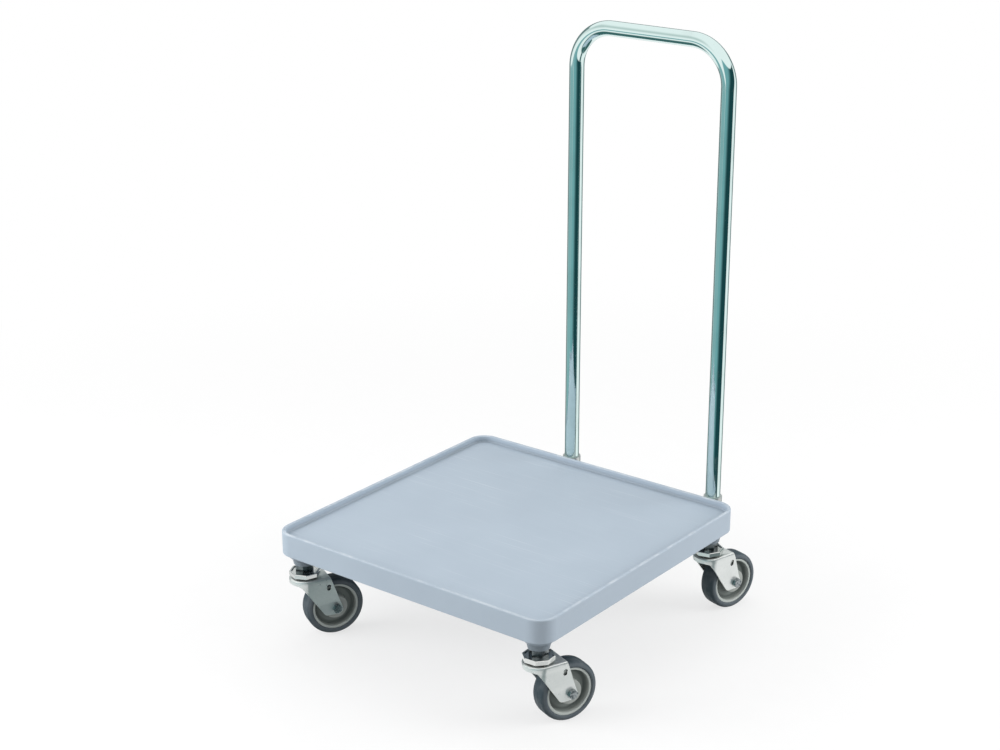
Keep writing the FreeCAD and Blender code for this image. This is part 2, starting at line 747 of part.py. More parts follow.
def make_fork(corner):
    """The pressed steel fork: a round crown whose sheet narrows into two legs that carry the axle."""
    body = stem_body(f"{corner}_fork", corner, f"trail_angle_{corner}")
    rear = f"({TRAIL} + nose_rear)"
    pad(body, channel(body, CROWN_RADIUS, rear, CROWN_TOP), "crown_skirt", flip=True)
    loft(body, "AdditiveLoft", channel(body, CROWN_RADIUS, rear, CUP_BOTTOM),
         channel(body, FORK_HALF, rear, LEG_FLAT_TOP))
    pad(body, channel(body, FORK_HALF, rear, LEG_FLAT_TOP), f"{LEG_FLAT_TOP} - {NOSE}", flip=True)
    trim_fork(body, rear)
    hollow_fork(body, f"({rear} + sheet_thickness)")

    kingpin = new_sketch(body, "XY_Plane", CROWN_TOP)
    draw_circle(kingpin, "stem_radius + swivel_play")
    pocket(body, kingpin, "sheet_thickness")
    axle = new_sketch(body, "XZ_Plane")
    draw_circle(axle, "axle_radius + axle_hole_play", TRAIL, AXLE)
    pocket(body, axle, f"2 * {CROWN_RADIUS}", symmetric=True)
    for sign in SIDES.values():
        window = new_sketch(body, "XZ_Plane")
        draw_circle(window, "window_radius", f"{TRAIL} - window_setback",
                    f"{AXLE} + window_rise + {sign} * window_pitch / 2")
        pocket(body, window, f"2 * {CROWN_RADIUS}", symmetric=True)
    for ball, circle, height in (("upper_ball_radius", UPPER_BALL_CIRCLE, UPPER_BALLS),
                                 ("lower_ball_radius", "lower_ball_circle", LOWER_BALLS)):
        track = new_sketch(body, "XZ_Plane")
        draw_circle(track, f"{ball} + ball_play", circle, height)
        groove(body, track)
    return body


def draw_throat(waste):
    """What is cut away before the legs: their slanted front edges bend into the bottom of the skirt."""
    run = f"({TRAIL} - nose_front + leg_front)"
    fall = f"({CUP_BOTTOM} - {NOSE})"
    slant = f"sqrt({run}^2 + {fall}^2)"
    bend = f"(throat_round * {fall} / ({slant} + {run}))"
    outside = f"-2 * {CROWN_RADIUS}"
    lines = draw_lines(waste, [
        (outside, CUP_BOTTOM), (f"-leg_front - {bend}", CUP_BOTTOM),
        (f"-leg_front + {bend} * {run} / {slant}", f"{CUP_BOTTOM} - {bend} * {fall} / {slant}"),
        (f"{TRAIL} - nose_front", NOSE),
        (f"{TRAIL} - nose_front", NOSE), (outside, NOSE),
        (outside, NOSE), (outside, CUP_BOTTOM),
    ])
    turn = math.atan2(read(fall), read(run))
    radius = read("throat_round")
    centre = Vector(read(f"-leg_front - {bend}"), read(CUP_BOTTOM) - radius, 0)
    join_with_bend(waste, centre, radius, math.pi / 2 - turn,
                   ((lines[0], 2, 2), (lines[1], 1, 1)), sweep=turn)


def trim_fork(body, rear):
    """Cut the fork's side outline, from the short skirt in front down to the rounded noses."""
    waste = new_sketch(body, "XZ_Plane")
    draw_throat(waste)
    draw_outline(waste, [("web_reach", CROWN_TOP), (rear, AXLE), (rear, CROWN_TOP)])
    pocket(body, waste, f"2 * {CROWN_RADIUS}", symmetric=True)
    nose = read(NOSE)
    fillet(body, "nose_round", lambda edge: at_height(edge, nose) and edge.BoundBox.XLength < EDGE_SLACK)
    top = read(CROWN_TOP)
    web_end = read("web_reach")

    def on_crown(edge):
        return at_height(edge, top) and edge.BoundBox.XMin < web_end - EDGE_SLACK

    fillet(body, "crown_round", on_crown)


def hollow_fork(body, open_end):
    """Leave the fork one sheet thick, open below and behind."""
    cup_half = f"({CROWN_RADIUS} - sheet_thickness)"
    leg_half = f"({FORK_GAP} / 2)"
    pocket(body, channel(body, cup_half, open_end, CUP_BOTTOM), "crown_skirt - sheet_thickness", flip=True)
    loft(body, "SubtractiveLoft", channel(body, cup_half, open_end, CUP_BOTTOM),
         channel(body, leg_half, open_end, LEG_FLAT_TOP))
    pocket(body, channel(body, leg_half, open_end, NOSE), f"{LEG_FLAT_TOP} - {NOSE}", flip=True)


def make_lower_race(corner):
    """The dished washer on the kingpin under the crown, with the lower ball track."""
    body = stem_body(f"{corner}_lower_race", corner)
    ring = new_sketch(body, "XY_Plane", LOWER_RACE_TOP)
    draw_circle(ring, "lower_ball_circle + lower_ball_radius + lower_race_rim")
    draw_circle(ring, "stem_radius + seat_play")
    pad(body, ring, "lower_race_thickness", flip=True)
    track = new_sketch(body, "XZ_Plane")
    draw_circle(track, "lower_ball_radius + seat_play", "lower_ball_circle", LOWER_BALLS)
    groove(body, track)
    return body


def make_kingpin_nuts():
    """The nuts that hold the swivel bearings together."""
    nuts = []
    for corner in CORNERS:
        nut = stem_body(f"nut_{corner}", corner)
        shape = new_sketch(nut, "XY_Plane", NUT_TOP)
        draw_regular(shape, 6, "kingpin_nut_flats")
        draw_circle(shape, "stem_radius + seat_play")
        pad(nut, shape, "kingpin_nut_height", flip=True)
        nuts.append(nut)
    return group("kingpin_nuts", nuts)


def make_axle_bolt(corner):
    """The hexagon headed bolt through the fork's legs."""
    body = axle_body(f"{corner}_axle_bolt", corner)
    head = new_sketch(body, "XZ_Plane", FORK_HALF)
    draw_regular(head, 6, "axle_hex_flats")
    pad(body, head, "axle_head_height")
    shank = new_sketch(body, "XZ_Plane", FORK_HALF)
    draw_circle(shank, "axle_radius")
    pad(body, shank, f"2 * {FORK_HALF} + axle_nut_height + thread_end", flip=True)
    return body


def make_axle_nut(corner):
    """The lock nut on the far end of the axle bolt."""
    body = axle_body(f"{corner}_axle_nut", corner)
    shape = new_sketch(body, "XZ_Plane", f"-{FORK_HALF}")
    draw_regular(shape, 6, "axle_hex_flats")
    draw_circle(shape, "axle_radius + seat_play")
    pad(body, shape, "axle_nut_height", flip=True)
    return body


def make_axle_sleeve(corner):
    """The steel tube clamped between the legs, on which the wheel turns."""
    body = axle_body(f"{corner}_axle_sleeve", corner)
    ring = new_sketch(body, "XZ_Plane")
    draw_circle(ring, AXLE_SLEEVE_RADIUS)
    draw_circle(ring, "axle_radius + seat_play")
    pad(body, ring, FORK_GAP, symmetric=True)
    return body


def make_wheel_bush(corner):
    """The plain bearing pressed into the hub."""
    body = axle_body(f"{corner}_wheel_bush", corner)
    ring = new_sketch(body, "XZ_Plane")
    draw_circle(ring, BUSH_RADIUS)
    draw_circle(ring, f"{AXLE_SLEEVE_RADIUS} + running_play")
    pad(body, ring, HUB_WIDTH, symmetric=True)
    return body


def make_wheel_hub(corner):
    """The moulded wheel centre: boss, thin web and the rim that carries the tyre."""
    body = axle_body(f"{corner}_wheel_hub", corner)
    boss = f"({HUB_BORE} + hub_boss_wall)"
    lip = f"({TYRE_SEAT} - hub_rim_wall)"
    rim_half = "(tyre_width / 2 - hub_rim_inset)"
    half = [
        (HUB_BORE, f"{HUB_WIDTH} / 2"), (boss, f"{HUB_WIDTH} / 2"), (f"{boss} + hub_draft", "hub_web / 2"),
        (f"{lip} - hub_draft", "hub_web / 2"), (lip, rim_half), (TYRE_SEAT, rim_half),
    ]
    mirrored = [(radius, f"-({across})") for radius, across in reversed(half)]
    profile = new_sketch(body, "XY_Plane")
    draw_outline(profile, half + mirrored)
    revolve(body, profile)
    return body


def make_tyre(corner):
    """The rubber tyre bonded on the hub's rim, with rounded shoulders."""
    body = axle_body(f"{corner}_tyre", corner)
    half = [(f"{TYRE_SEAT} + seat_play", "tyre_width / 2 - tyre_flank"),
            (f"{TYRE_SEAT} + tyre_flank_rise", "tyre_width / 2"), ("wheel_radius", "tyre_width / 2")]
    mirrored = [(radius, f"-({across})") for radius, across in reversed(half)]
    profile = new_sketch(body, "XY_Plane")
    draw_outline(profile, half + mirrored)
    revolve(body, profile)
    radius = read("wheel_radius")

    def tread_edge(edge):
        return edge.Curve.TypeId == "Part::GeomCircle" and abs(edge.Curve.Radius - radius) < EDGE_SLACK

    fillet(body, "tyre_thickness - tyre_flank_rise - flank_straight", tread_edge)
    return body


def build():
    """Every sub-part, in the order in which the dolly is put together."""
    parts = [make_tray(), make_stem_inserts()]
    parts += [make_handle_socket(side) for side in SIDES]
    parts += make_socket_hardware()
    parts += [make_handle_tube(), make_lock_screws(), make_end_plugs()]
    parts.append(make_balls("upper", UPPER_BALL_CIRCLE, UPPER_BALLS))
    parts.append(make_balls("lower", "lower_ball_circle", LOWER_BALLS))
    parts.append(make_kingpin_nuts())
    makers = (make_stem, make_upper_race, make_fork, make_lower_race, make_axle_bolt, make_axle_nut,
              make_axle_sleeve, make_wheel_bush, make_wheel_hub, make_tyre)
    parts += [make(corner) for corner in CORNERS for make in makers]
    doc.recompute()
    return parts


def check(parts):
    """Stop before anything is written if an object failed or a shape is bad."""
    for item in doc.Objects:
        if {"Invalid", "Error"} & set(item.State):
            raise RuntimeError(f"{item.Label} failed: {item.State}")
    for node in parts:
        if node.Shape.isNull() or not node.Shape.isValid() or not node.Shape.Solids:
            raise RuntimeError(f"{node.Label} has no valid solid")


sub_parts = build()
check(sub_parts)
os.makedirs("parts", exist_ok=True)
for node in sub_parts:
    node.Shape.exportStep(f"parts/{node.Label}.step")
    print(node.Label, len(node.Shape.Solids), round(node.Shape.Volume))
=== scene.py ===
import json
import math

import bmesh
import bpy
from mathutils import Matrix, Vector


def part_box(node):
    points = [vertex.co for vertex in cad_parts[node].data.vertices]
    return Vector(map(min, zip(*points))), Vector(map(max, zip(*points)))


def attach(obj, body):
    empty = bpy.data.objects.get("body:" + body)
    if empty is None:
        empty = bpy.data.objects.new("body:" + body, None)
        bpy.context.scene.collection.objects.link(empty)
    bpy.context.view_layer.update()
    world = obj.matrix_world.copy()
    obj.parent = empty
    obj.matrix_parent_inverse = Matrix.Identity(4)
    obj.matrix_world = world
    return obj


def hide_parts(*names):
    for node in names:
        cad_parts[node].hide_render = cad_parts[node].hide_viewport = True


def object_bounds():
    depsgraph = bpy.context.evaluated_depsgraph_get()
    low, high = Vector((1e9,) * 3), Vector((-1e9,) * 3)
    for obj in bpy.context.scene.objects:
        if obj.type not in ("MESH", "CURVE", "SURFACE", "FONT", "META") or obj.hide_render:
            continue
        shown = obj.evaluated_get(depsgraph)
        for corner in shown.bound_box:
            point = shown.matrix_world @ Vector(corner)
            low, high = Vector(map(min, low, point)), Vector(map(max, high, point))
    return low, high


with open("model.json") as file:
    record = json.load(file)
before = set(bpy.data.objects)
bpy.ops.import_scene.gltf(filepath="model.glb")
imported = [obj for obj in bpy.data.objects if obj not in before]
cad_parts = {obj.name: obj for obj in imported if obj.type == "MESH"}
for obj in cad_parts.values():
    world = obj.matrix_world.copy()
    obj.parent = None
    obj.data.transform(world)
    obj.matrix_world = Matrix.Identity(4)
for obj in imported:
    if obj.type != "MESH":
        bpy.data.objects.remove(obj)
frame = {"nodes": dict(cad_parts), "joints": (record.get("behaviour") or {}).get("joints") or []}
cad_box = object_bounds()

# Tray
# The square deck with its raised rim, ribs and corner bosses is one moulding in blue-grey plastic.
# Use has rubbed its rim and deck paler. Dirt and painted shade lie along the rim's inner foot, and painted
# shade on the bosses' ends.


class Value:
    """What one socket gives over a surface; arithmetic on it adds math nodes to its finish."""

    def __init__(self, finish, socket):
        self.finish = finish
        self.socket = socket

    def join(self, operation, first, second):
        return self.finish.add("Math", {"operation": operation}, {0: first, 1: second})

    def __add__(self, other):
        return self.join("ADD", self, other)

    def __sub__(self, other):
        return self.join("SUBTRACT", self, other)

    def __rsub__(self, other):
        return self.join("SUBTRACT", other, self)

    def __mul__(self, other):
        return self.join("MULTIPLY", self, other)

    def most(self, other):
        return self.join("MAXIMUM", self, other)

    __radd__ = __add__
    __rmul__ = __mul__


class Finish:
    """A procedural material: nodes that feed one principled surface."""

    def __init__(self, name):
        self.material = bpy.data.materials.new(name)
        self.material.use_nodes = True
        self.tree = self.material.node_tree
        self.surface = self.tree.nodes["Principled BSDF"]
        self.place = self.add("TexCoord", {}, {}, "Object")

    def add(self, kind, settings, inputs, output=0):
        """Any node: its kind, its settings, then the values or links of its sockets."""
        node = self.tree.nodes.new("ShaderNode" + kind)
        for name, setting in settings.items():
            setattr(node, name, setting)
        for name, value in inputs.items():
            self.feed(node.inputs[name], value)
        return Value(self, node.outputs[output])

    def feed(self, socket, value):
        if isinstance(value, Value):
            self.tree.links.new(value.socket, socket)
        else:
            socket.default_value = value

    def surface_set(self, **inputs):
        for name, value in inputs.items():
            self.feed(self.surface.inputs[name.replace("_", " ").title()], value)

    def noise(self, scale, detail=2.0, stretch=(1, 1, 1)):
        place = self.add("Mapping", {}, {"Vector": self.place, "Scale": stretch})
        return self.add("TexNoise", {}, {"Vector": place, "Scale": scale, "Detail": detail}, "Fac")

    def along(self, axis):
        return self.add("SeparateXYZ", {}, {"Vector": self.place}, axis)

    def own(self, attribute):
        return self.add("Attribute", {"attribute_name": attribute}, {}, "Fac")

    def rise(self, value, low, high):
        """Runs smoothly from 0 to 1 as the value goes from low to high."""
        steps = {"Value": value, "From Min": low, "From Max": high}
        return self.add("MapRange", {"interpolation_type": "SMOOTHSTEP"}, steps)

    def band(self, value, low, high, edge):
        """1 while the value lies between low and high, with soft edges."""
        return self.rise(value, low - edge, low + edge) * (1 - self.rise(value, high - edge, high + edge))

    def mix(self, share, first, second):
        return self.add("Mix", {"data_type": "RGBA"}, {0: share, 6: first, 7: second}, 2)

    def relief(self, height, depth):
        return self.add("Bump", {}, {"Height": height, "Distance": depth})


def paint(red, green, blue):
    """A colour as seen on a screen, as the linear light that a surface takes."""
    def linear(level):
        share = level / 255
        return share / 12.92 if share <= 0.04045 else ((share + 0.055) / 1.055) ** 2.4
    return (linear(red), linear(green), linear(blue), 1)


def dress(finish, *nodes):
    for name in nodes:
        frame["nodes"][name].material_slots[0].material = finish.material


BOSS_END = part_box("tray")[0].z
RIM_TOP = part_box("tray")[1].z
RIM_WEAR_START = 0.0022
RIM_WEAR_FULL = 0.0004
DECK_SKIN = (-0.0005, 0.0008)
NEST_SIDE = 0.540
NEST_CORNER = 0.026
NEST_DARK_WIDTH = 0.006
NEST_DARK_RISE = (-0.001, 0.004)
BOSS_SHADE_FULL = 0.006
BOSS_SHADE_END = 0.016

tray_plastic = Finish("tray_plastic")
height = tray_plastic.along("Z")
rim_edge = tray_plastic.rise(height, RIM_TOP - RIM_WEAR_START, RIM_TOP - RIM_WEAR_FULL)
deck_top = tray_plastic.band(height, *DECK_SKIN, 0.0004)
streaks = tray_plastic.rise(tray_plastic.noise(5, 3, (1, 60, 1)), 0.56, 0.74)
patchy = tray_plastic.rise(tray_plastic.noise(5, 2), 0.42, 0.66)
rubbed = deck_top * (0.3 + 0.7 * patchy) * streaks * 0.6
worn = rim_edge * tray_plastic.rise(tray_plastic.noise(45, 3), 0.35, 0.75)
cloud = tray_plastic.noise(9, 3)
grain = tray_plastic.noise(1100, 2)
peel = tray_plastic.noise(160, 2)
moulded = tray_plastic.mix(cloud, paint(164, 177, 190), paint(174, 187, 199))
scuffed = tray_plastic.mix(rubbed, moulded, paint(198, 207, 214))
arc_centre = NEST_SIDE / 2 - NEST_CORNER
flat = tray_plastic.add("VectorMath", {"operation": "MULTIPLY"}, {0: tray_plastic.place, 1: (1, 1, 0)})
quarter = tray_plastic.add("VectorMath", {"operation": "ABSOLUTE"}, {0: flat})
past = tray_plastic.add("VectorMath", {"operation": "SUBTRACT"},
                        {0: quarter, 1: (arc_centre, arc_centre, 0)})
outside = tray_plastic.add("VectorMath", {"operation": "MAXIMUM"}, {0: past, 1: (0, 0, 0)})
from_arc = tray_plastic.add("VectorMath", {"operation": "LENGTH"}, {0: outside}, "Value")
# Along the foot of the rim inside, the deck is darkened with dirt and painted shade.
nest_foot = tray_plastic.band(from_arc, NEST_CORNER - NEST_DARK_WIDTH, NEST_CORNER + 0.001, 0.004)
nest_dirt_and_shade = nest_foot * tray_plastic.band(height, *NEST_DARK_RISE, 0.003) * (0.2 + 0.6 * cloud)
# Painted shade darkens the lower ends of the bosses; paint(112, 122, 130) is that shade and the rim foot's
# dirt and shade.
boss_shade = 0.8 * (1 - tray_plastic.rise(height, BOSS_END + BOSS_SHADE_FULL, BOSS_END + BOSS_SHADE_END))
dirt_and_shade = tray_plastic.mix(nest_dirt_and_shade + boss_shade, scuffed, paint(112, 122, 130))
tray_plastic.surface_set(
    base_color=tray_plastic.mix(worn * 0.6, dirt_and_shade, paint(204, 211, 217)),
    roughness=0.44 + 0.1 * cloud + 0.14 * worn + 0.12 * rubbed,
    normal=tray_plastic.relief(grain + 0.8 * peel + -0.5 * rubbed, 0.00012),
)
dress(tray_plastic, "tray")

# Stem inserts
# Threaded brass bushes are moulded into the four bosses, to take the casters' stems.
# Only their lower ends show, dull and slightly tarnished.

insert_brass = Finish("insert_brass")
tarnish = insert_brass.rise(insert_brass.noise(120, 3), 0.4, 0.7)
insert_brass.surface_set(
    base_color=insert_brass.mix(tarnish, paint(206, 172, 104), paint(140, 104, 58)),
    metallic=1,
    roughness=0.32 + 0.25 * tarnish,
)
dress(insert_brass, "stem_inserts")

# Handle sockets
# Each is a steel plate with a sleeve welded on along two rippled beads, zinc plated after welding.
# The plates are screwed on the rear skirt, and the legs of the handle stand in the sleeves.

plated_steel = Finish("plated_steel")
passivated = plated_steel.noise(60, 3)
handled = plated_steel.rise(plated_steel.noise(18, 2), 0.45, 0.7)
brushed = plated_steel.noise(500, 2, (1, 1, 0.08))
plated_steel.surface_set(
    base_color=plated_steel.mix(passivated, paint(196, 200, 200), paint(214, 217, 214)),
    metallic=1,
    roughness=0.24 + 0.14 * passivated + 0.12 * handled,
    normal=plated_steel.relief(brushed, 0.00002),
)
dress(plated_steel, "handle_socket_left", "handle_socket_right", "handle_socket_washers")


def shade_edges(mesh, angle):
    """Smooth faces that meet under the angle, and a crisp edge where they don't."""
    mesh.shade_smooth()
    mesh.set_sharp_from_angle(angle=math.radians(angle))


def add_piece(name, bm, finish, body, slot, *nodes, crisp=35):
    """Turns a finished bmesh into a piece that rides on its body and stands for the named nodes."""
    mesh = bpy.data.meshes.new(name)
    bm.to_mesh(mesh)
    bm.free()
    shade_edges(mesh, crisp)
    mesh.materials.append(finish.material)
    piece = bpy.data.objects.new(name, mesh)
    bpy.context.scene.collection.objects.link(piece)
    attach(piece, body)
    if nodes:
        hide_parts(*nodes)
    return piece


MM = 0.001
RING_POINTS = 48
CORNER_SLOPE = math.tan(math.radians(30))


def stack_rings(bm, rings, place):
    """Adds a solid of stacked rings in millimetres: radius, height, and round, hex or trimmed hex."""
    first = len(bm.verts)
    start = bmesh.ops.create_circle(bm, cap_ends=True, segments=RING_POINTS, radius=1)["verts"]
    cap = start[0].link_faces[0]
    for step, (radius, height, form) in enumerate(rings):
        if step:
            grown = bmesh.ops.extrude_face_region(bm, geom=[cap])["geom"]
            cap = next(item for item in grown if isinstance(item, bmesh.types.BMFace))
        for vert in cap.verts:
            turn = math.atan2(vert.co.y, vert.co.x)
            flat_turn = turn % (math.pi / 3) - math.pi / 6
            reach = radius if form == "round" else radius / math.cos(flat_turn)
            drop = CORNER_SLOPE * (reach - radius) if form == "trimmed" else 0
            vert.co = Vector((reach * math.cos(turn), reach * math.sin(turn), height - drop))
    solid = bm.verts[first:]
    bmesh.ops.scale(bm, vec=(MM, MM, MM), verts=solid)
    bmesh.ops.transform(bm, matrix=place, verts=solid)
    bmesh.ops.recalc_face_normals(bm, faces=list({face for vert in solid for face in vert.link_faces}))


WELD_RADIUS = 2.0
WELD_RIPPLE = 0.3
WELD_STEPS = 26
WELD_LOW = -24.0
WELD_HIGH = 6.0
WELD_TIP = 0.8
WELD_TAPER = 1.0
WELD_SIDE = 8.6

tube_low, tube_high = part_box("handle_tube")
tube_radius = (tube_high.y - tube_low.y) / 2
leg_depth = (tube_low.y + tube_high.y) / 2
legs = (tube_low.x + tube_radius, tube_high.x - tube_radius)
washer_low, washer_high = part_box("handle_socket_washers")

weld_pitch = (WELD_HIGH - WELD_LOW) / WELD_STEPS
bead = [(WELD_RADIUS - WELD_RIPPLE * (step % 2), WELD_LOW + step * weld_pitch, "round")
        for step in range(WELD_STEPS + 1)]
bead = [(WELD_TIP, WELD_LOW - WELD_TAPER, "round")] + bead + [(WELD_TIP, WELD_HIGH + WELD_TAPER, "round")]
welds = bmesh.new()
for leg in legs:
    for side in (-1, 1):
        stack_rings(welds, bead, Matrix.Translation((leg + side * WELD_SIDE * MM, washer_low.y, 0)))
add_piece("socket_weld_beads", welds, plated_steel, "tray_frame", "plated_steel")

# Handle screws
# Hexagon screws with washers fix the socket plates, and a button headed screw with a hexagon
# recess locks each leg in its sleeve. All are zinc plated.

HEAD_FACE = 0.96
HEAD_FACE_RISE = 0.4
HEAD_TOP = 0.92
SHANK_INTO_HEAD = 0.5
SCREW_SIDE = 24.0
SCREW_FLATS = 13.0
SCREW_RADIUS = 4.0
SCREW_BEVEL = 0.4
LOCK_RADIUS = 3.0
LOCK_HEAD = 5.0
LOCK_RISE = 3.3
LOCK_DOME = ((1.0, 0.0), (0.97, 0.3), (0.84, 0.7), (0.6, 1.0))
LOCK_RECESS = 1.75
LOCK_RECESS_DEPTH = 0.6
TO_REAR = Matrix.Rotation(-math.pi / 2, 4, "X")


def hexagon_head(flats, rise):
    """Rings of a hexagon with a washer face below and turned corners above."""
    half = flats / 2
    face = HEAD_FACE * half
    return [(face, 0, "round"), (face, HEAD_FACE_RISE, "round"), (half, HEAD_FACE_RISE, "hex"),
            (half, rise, "trimmed"), (HEAD_TOP * half, rise, "round")]


def rod(radius, low, high, bevel):
    """Rings of a round bar with bevelled ends."""
    return [(radius - bevel, low, "round"), (radius, low + bevel, "round"),
            (radius, high - bevel, "round"), (radius - bevel, high, "round")]


screw_low, screw_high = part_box("handle_socket_screws")
screw_level = (screw_low.z + screw_high.z) / 2
screws = bmesh.new()
for leg in legs:
    for side in (-1, 1):
        seat = Matrix.Translation((leg + side * SCREW_SIDE * MM, washer_high.y, screw_level)) @ TO_REAR
        stack_rings(screws, hexagon_head(SCREW_FLATS, (screw_high.y - washer_high.y) / MM), seat)
        shank_end = (screw_low.y - washer_high.y) / MM
        stack_rings(screws, rod(SCREW_RADIUS, shank_end, SHANK_INTO_HEAD, SCREW_BEVEL), seat)
add_piece("socket_hex_screws", screws, plated_steel, "tray_frame", "plated_steel", "handle_socket_screws")

lock_low, lock_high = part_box("handle_lock_screws")
lock_length = (lock_high.y - lock_low.y) / MM
lock_seat = lock_length - LOCK_RISE
shank = [(LOCK_RADIUS, 0, "round"), (LOCK_RADIUS, lock_seat, "round")]
dome = [(share * LOCK_HEAD, lock_seat + rise * LOCK_RISE, "round") for share, rise in LOCK_DOME]
recess_floor = lock_length - LOCK_RECESS_DEPTH * LOCK_RISE
recess = [(LOCK_RECESS, lock_length, "hex"), (LOCK_RECESS, recess_floor, "hex")]
locks = bmesh.new()
lock_level = (lock_low.z + lock_high.z) / 2
for leg in legs:
    stack_rings(locks, shank + dome + recess, Matrix.Translation((leg, lock_low.y, lock_level)) @ TO_REAR)
add_piece("handle_button_screws", locks, plated_steel, "tray_frame", "plated_steel", "handle_lock_screws")

# Handle tube
# One steel tube, bent twice into an upside-down U, polished and chromed.
# Its legs stand in the sleeves and a screw locks each one.

BEND_RADIUS = 0.070
TUBE_WALL = 0.0015
TUBE_SIDES = 64
BEND_STEPS = 28
END_RUN = 0.002
SAME_PLACE = 1e-6

handle_chrome = Finish("handle_chrome")
smear = handle_chrome.rise(handle_chrome.noise(26, 3), 0.42, 0.72)
drawn = handle_chrome.noise(700, 2, (1, 1, 0.03))
handle_chrome.surface_set(
    base_color=handle_chrome.mix(smear, (0.72, 0.87, 0.85, 1), (0.67, 0.81, 0.79, 1)),
    metallic=1,
    roughness=0.04 + 0.06 * smear,
    normal=handle_chrome.relief(drawn, 0.000006),
)


def run_on(bm, ring, run):
    """Draws the open ring of edges on by a straight run, with close rings at its ends for even shading."""
    whole = Vector(run)
    end = END_RUN * whole.normalized()
    for step in (end, whole - 2 * end, end):
        grown = bmesh.ops.extrude_edge_only(bm, edges=ring)["geom"]
        moved = [item for item in grown if isinstance(item, bmesh.types.BMVert)]
        bmesh.ops.translate(bm, vec=step, verts=moved)
        ring = [item for item in grown if isinstance(item, bmesh.types.BMEdge)]
    return ring


def bend_on(bm, ring, centre):
    """Bends the open ring of edges through a quarter turn about an axis along Y."""
    turned = bmesh.ops.spin(bm, geom=ring, cent=centre, axis=(0, 1, 0), angle=math.pi / 2, steps=BEND_STEPS)
    return [item for item in turned["geom_last"] if isinstance(item, bmesh.types.BMEdge)]


leg_left, leg_right = legs
bend_height = tube_high.z - tube_radius - BEND_RADIUS
tube = bmesh.new()
foot = Matrix.Translation((leg_left, leg_depth, tube_low.z))
bmesh.ops.create_circle(tube, segments=TUBE_SIDES, radius=tube_radius, matrix=foot)
ring = run_on(tube, tube.edges[:], (0, 0, bend_height - tube_low.z))
ring = bend_on(tube, ring, (leg_left + BEND_RADIUS, leg_depth, bend_height))
ring = run_on(tube, ring, (leg_right - leg_left - 2 * BEND_RADIUS, 0, 0))
ring = bend_on(tube, ring, (leg_right - BEND_RADIUS, leg_depth, bend_height))
run_on(tube, ring, (0, 0, tube_low.z - bend_height))
bmesh.ops.remove_doubles(tube, verts=tube.verts, dist=SAME_PLACE)
bmesh.ops.recalc_face_normals(tube, faces=tube.faces)
handle_tube = add_piece("chromed_handle", tube, handle_chrome, "tray_frame", "handle_chrome", "handle_tube")
wall = handle_tube.modifiers.new("tube wall", "SOLIDIFY")
wall.thickness = TUBE_WALL
wall.offset = -1

# Handle end plugs
# Soft black plastic plugs are pushed into the tube's lower ends and close them.
# Each has a thin flange with the dull grain of its mould.

plug_plastic = Finish("plug_plastic")
plug_grain = plug_plastic.noise(900, 2)
plug_plastic.surface_set(
    base_color=plug_plastic.mix(plug_plastic.noise(80), paint(34, 36, 38), paint(48, 50, 52)),
    roughness=0.5 + 0.2 * plug_grain,
    normal=plug_plastic.relief(plug_grain, 0.0001),
)
dress(plug_plastic, "handle_end_plugs")

# Caster stems, lower races and kingpin nuts
# Each stem is turned from bar with a thread, a hexagon collar and a kingpin below it, oiled and painted
# dark as shade.
# The dished lower race and the nut under it, zinc plated, hold the swivel together.

CORNERS = ("front_left", "front_right", "rear_left", "rear_right")


def of_each(part):
    return [f"{corner}_{part}" for corner in CORNERS]


# Dark steel for oil and for painted shade under the bosses.
oiled_and_shaded_steel = Finish("oiled_and_shaded_steel")
oil_and_shade = oiled_and_shaded_steel.rise(oiled_and_shaded_steel.noise(70, 3), 0.35, 0.7)
turned_marks = oiled_and_shaded_steel.noise(900, 2, (0.05, 0.05, 1))
oiled_and_shaded_steel.surface_set(
    base_color=oiled_and_shaded_steel.mix(oil_and_shade, paint(132, 138, 140), paint(58, 64, 68)),
    metallic=1,
    roughness=0.16 + 0.16 * oil_and_shade,
    normal=oiled_and_shaded_steel.relief(turned_marks, 0.00002),
)
dress(oiled_and_shaded_steel, *of_each("stem"))
dress(plated_steel, "kingpin_nuts", *of_each("lower_race"))

# Upper races
# Octagonal plates with a raised lip, pressed from steel and bright plated.
# They are fixed on the kingpins under the collars and the forks turn against them.

race_chrome = Finish("race_chrome")
polish = race_chrome.noise(90, 3)
race_chrome.surface_set(
    base_color=race_chrome.mix(polish, (0.70, 0.72, 0.71, 1), (0.80, 0.81, 0.79, 1)),
    metallic=1,
    roughness=0.1 + 0.1 * polish,
    normal=race_chrome.relief(race_chrome.noise(420), 0.00002),
)
dress(race_chrome, *of_each("upper_race"))

# Swivel balls
# Hardened steel balls run in two rings above and below each crown.
# A film of old grease clouds them.

bearing_steel = Finish("bearing_steel")
grease = bearing_steel.rise(bearing_steel.noise(300, 2), 0.45, 0.65)
bearing_steel.surface_set(
    base_color=bearing_steel.mix(grease, paint(190, 192, 194), paint(92, 80, 58)),
    metallic=1 - 0.5 * grease,
    roughness=0.12 + 0.25 * grease,
)
dress(bearing_steel, "upper_swivel_balls", "lower_swivel_balls")

# Forks
# Each is pressed from one steel sheet, a round crown and two tapered legs, and bright zinc plated.
# The plating is satin and slightly mottled, and the cut edge of each leg's small window is painted dark as
# shade.

SHEET_BENDS = (-83.0, -121.0)
BEND_REACH = 5.0
WINDOW_RISE = 42.0
WINDOW_SETBACK = 14.3
WINDOW_REACH = 6.5
EDGE_TILT = 0.2

fork_zinc = Finish("fork_zinc")
spangle = fork_zinc.noise(220, 3)
cloudy = fork_zinc.noise(28, 2)
scuff = fork_zinc.rise(fork_zinc.noise(60, 4, (1, 1, 6)), 0.6, 0.75)
